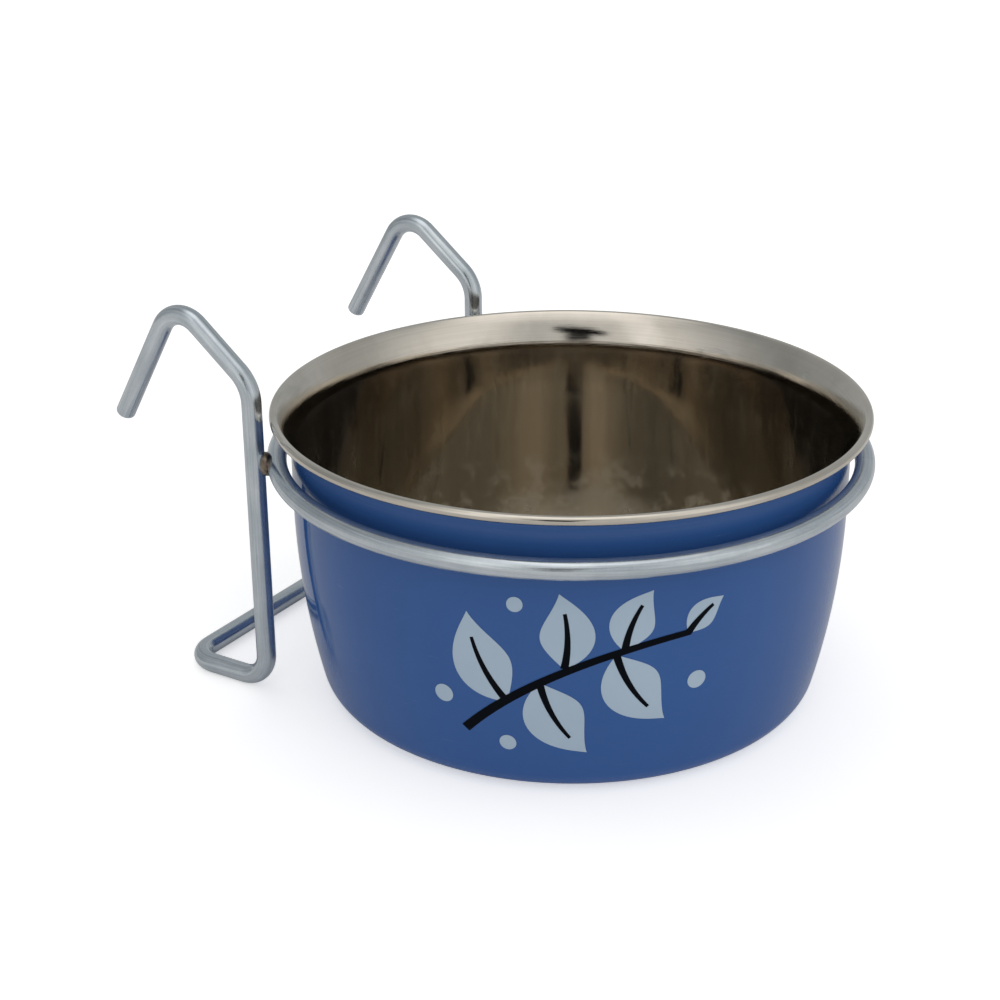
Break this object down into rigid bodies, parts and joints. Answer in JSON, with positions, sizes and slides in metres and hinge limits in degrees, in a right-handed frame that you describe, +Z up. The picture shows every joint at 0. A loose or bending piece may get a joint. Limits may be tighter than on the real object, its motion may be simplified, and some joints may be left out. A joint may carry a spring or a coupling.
{
  "type": "hook-on feeder cup",
  "caption": "Round blue-painted steel feeder cup with a flared rolled lip, standing in the ring of a bent wire holder that hooks over a cage bar and lets the cup lift out.",
  "frame": {"origin": "centre of the cup's flat underside, on the surface the part stands on", "axes": "+Z up along the cup's axis, +Y to the back, towards the hooks and the cage wall, +X to the right seen from the front"},
  "size_m": [0.1218, 0.1444, 0.0805],
  "materials": {
    "blue_paint": "gloss blue paint outside, bare polished steel inside and on the rolled lip",
    "plated_wire": "bright drawn wire",
    "weld_steel": "heat-tinted spot weld"
  },
  "bodies": {
    "holder": {"frame_wire": "plated_wire", "ring": "plated_wire", "weld_left": "weld_steel", "weld_right": "weld_steel"},
    "cup": {"cup": "blue_paint"}
  },
  "joints": [
    {"name": "cup_lift", "type": "slide", "parent": "holder", "child": "cup", "axis": [0, 0, 1], "range_m": [-0.005, 0.07]}
  ]
}
